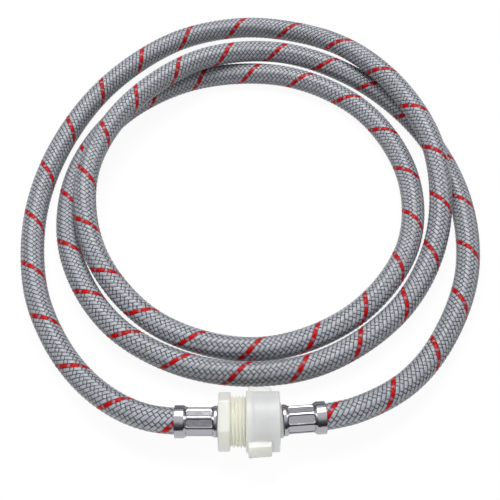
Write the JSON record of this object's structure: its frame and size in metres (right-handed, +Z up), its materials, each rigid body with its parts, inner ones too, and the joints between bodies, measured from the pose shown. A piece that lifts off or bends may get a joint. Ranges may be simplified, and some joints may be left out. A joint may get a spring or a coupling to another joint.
{
  "type": "dishwasher extension hose",
  "caption": "Braided grey water hose coiled in loose turns, with crimped steel ferrules, a white threaded connector and a white swivel nut screwed together.",
  "frame": {"origin": "on the floor, below the middle of the screwed-together fittings", "axes": "+X along the fittings from the threaded connector to the swivel nut, +Y towards the far side of the coil, +Z up"},
  "size_m": [0.2746, 0.3284, 0.0318],
  "materials": {
    "natural_plastic": "moulded, milky and slightly see-through",
    "polished_steel": "polished stainless steel, crimped",
    "black_rubber": "smooth extruded rubber",
    "grey_braid": "woven plastic tape, grey with one red tracer"
  },
  "bodies": {
    "hose": {"male_connector": "natural_plastic", "left_ferrule": "polished_steel", "inner_tube": "black_rubber", "braided_sleeve": "grey_braid", "tail_piece": "natural_plastic", "right_ferrule": "polished_steel"},
    "washer": {"sealing_washer": "black_rubber"},
    "nut": {"swivel_nut": "natural_plastic"}
  },
  "joints": [
    {"name": "nut_turn", "type": "hinge", "parent": "hose", "child": "washer", "pos_m": [0.0056, 0, 0.0159], "axis": [-1, 0, 0], "range_deg": [-1290, 216]},
    {"name": "nut_travel", "type": "slide", "parent": "washer", "child": "nut", "axis": [-1, 0, 0], "range_m": [-0.00651, 0.0011]}
  ],
  "couplings": [
    {"joint": "nut_travel", "follows": "nut_turn", "m_per_rad": 0.00028871}
  ]
}
